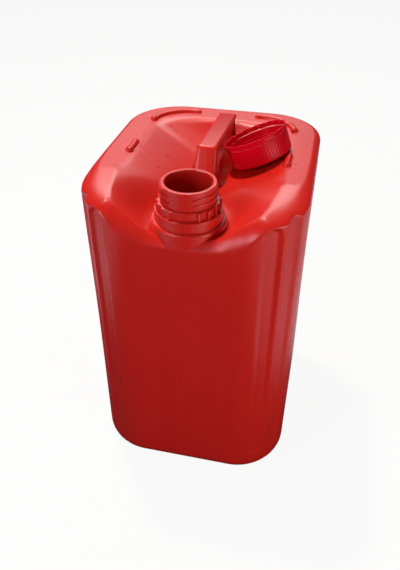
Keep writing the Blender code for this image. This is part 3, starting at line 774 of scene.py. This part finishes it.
# Seal: a soft foam ring pressed into the cap against the plate, with a low bead where the lip of the
# neck bears on it.
seal_inner, seal_outer = 0.0235, 0.0308
seal_low, seal_top, seal_crest = 0.0029, 0.0043, 0.0047
corners = ((seal_inner, seal_low), (seal_outer, seal_low), (seal_outer, seal_top), (0.0288, seal_top),
           (0.02705, seal_crest), (0.0253, seal_top), (seal_inner, seal_top))
profile = rounded(corners, (0.0002, 0.0002, 0.0002, 0.001, 0.001, 0.001, 0.0002), 4)
seal = turned("seal_ring", profile, 192)
seal.data.transform(cap_place)
foam = Finish("soft_grey_polyethylene_foam")
cell = foam.node("ShaderNodeTexVoronoi", {}, {"Vector": foam.place, "Scale": 1800.0}, "Distance")
cloud = foam.noise(90.0, 3.0)
colour = foam.mix(cloud, (0.52, 0.50, 0.47, 1), (0.60, 0.57, 0.54, 1))
foam.surface(colour, 0.72 + cloud * 0.1, cell * 0.8 + cloud * 0.3, 0.00015)
finished(seal, foam, "cap", "seal_foam", "cap_seal")

# Studio floor: a white sweep that takes the can's soft shadow. The camera sees it near white, and the
# can mirrors it as dark in front and pale behind and beside.
paper = (0.9, 0.9, 0.9, 1)
mirrored_pale = (0.66, 0.60, 0.68, 1)
mirrored_dark = (0.02, 0.018, 0.03, 1)
paper_glow = 0.92
sweep = Finish("white_sweep", Roughness=0.9)
x, y = (sweep.node("ShaderNodeSeparateXYZ", {}, {0: sweep.place}, axis) for axis in (0, 1))
seen = sweep.node("ShaderNodeLightPath", {}, {}, "Is Camera Ray")
in_front = (1 - y.between(-0.10, 0.25)) * (1 - abs(x + 0.06).between(0.26, 0.46))
mirrored = sweep.mix(in_front, mirrored_pale, mirrored_dark)
sweep.join(sweep.shader.inputs["Base Color"], sweep.mix(seen, mirrored, paper))
glow = sweep.node("ShaderNodeEmission", {}, {"Color": (1, 1, 1, 1), "Strength": 1.0})
lit = Signal(sweep, sweep.shader.outputs[0])
brightened = sweep.node("ShaderNodeMixShader", {}, {0: seen * paper_glow, 1: lit, 2: glow})
sweep.join(sweep.tree.nodes["Material Output"].inputs["Surface"], brightened)
bpy.ops.object.select_all(action="DESELECT")
bpy.ops.mesh.primitive_plane_add(size=8.0)
floor = bpy.context.object
floor.name = "floor"
floor.data.materials.append(sweep.material)

# Studio surroundings: a weak bluish light from all round keeps the shaded sides readable, and the camera
# sees plain white behind the can.
world = bpy.data.worlds.new("studio")
bpy.context.scene.world = world
world.use_nodes = True
sky = world.node_tree
path = sky.nodes.new("ShaderNodeLightPath")
room = sky.nodes["Background"]
room.inputs["Color"].default_value = (0.75, 0.75, 1, 1)
room.inputs["Strength"].default_value = 0.06
white = sky.nodes.new("ShaderNodeBackground")
white.inputs["Color"].default_value = (1, 1, 1, 1)
backdrop = sky.nodes.new("ShaderNodeMixShader")
sky.links.new(path.outputs["Is Camera Ray"], backdrop.inputs[0])
sky.links.new(room.outputs[0], backdrop.inputs[1])
sky.links.new(white.outputs[0], backdrop.inputs[2])
sky.links.new(backdrop.outputs[0], sky.nodes["World Output"].inputs["Surface"])

# Studio lamps: a small warm lamp overhead, soft boxes behind for the sheen on the rims and the shoulder,
# a cool fill in front on the left and a warm one on the right.
can_top, can_middle, can_low = (0, 0, 0.39), (0, 0, 0.2), (0, 0, 0.12)
warm, rosy, cool = (1.0, 0.94, 0.86), (1.0, 0.88, 0.80), (0.98, 0.88, 1.0)


def softbox(name, place, aim, size, power, colour=(1, 1, 1)):
    """A rectangular lamp that faces a point."""
    lamp = bpy.data.lights.new(name, "AREA")
    lamp.shape = "RECTANGLE"
    lamp.size, lamp.size_y = size
    lamp.energy = power
    lamp.color = colour
    item = bpy.data.objects.new(name, lamp)
    item.location = place
    item.rotation_euler = (Vector(aim) - Vector(place)).to_track_quat("-Z", "Y").to_euler()
    bpy.context.scene.collection.objects.link(item)
    return item


# Most of the overhead light makes no highlight of its own, and the two cards show only as reflections.
softbox("overhead_lamp", (-0.52, 0.46, 2.27), can_top, (0.18, 0.18), 9.0, warm)
overhead_glow = softbox("overhead_glow", (-0.53, 0.47, 2.30), can_top, (0.18, 0.18), 28.0, warm)
overhead_glow.visible_glossy = False
softbox("rear_low_softbox", (-0.42, 1.46, 1.00), can_top, (1.1, 0.34), 1.8)
for card in (softbox("rear_high_card", (-0.34, 1.02, 1.48), can_top, (1.10, 0.42), 10.5),
             softbox("overhead_card", (-0.15, 0.50, 1.85), can_top, (0.9, 0.45), 2.4)):
    card.visible_diffuse = False
softbox("front_left_fill", (-1.5, -1.8, 1.1), can_middle, (1.2, 1.2), 24.0, cool)
softbox("right_fill", (1.3, -0.75, 0.30), can_low, (0.8, 0.8), 10.5, rosy)

# Camera: close to the can and above its front right, turned down to the can's middle, so that the
# walls run together towards the foot.
lens = bpy.data.cameras.new("camera")
lens.sensor_width = 36.0
lens.lens = 37.09
camera = bpy.data.objects.new("camera", lens)
camera.location = (0.12939, -0.62012, 0.67804)
aim = Vector((-0.010157, -0.004108, 0.200511))
camera.rotation_euler = (aim - camera.location).to_track_quat("-Z", "Y").to_euler()
bpy.context.scene.collection.objects.link(camera)
bpy.context.scene.camera = camera
bpy.context.scene.view_settings.view_transform = "Standard"
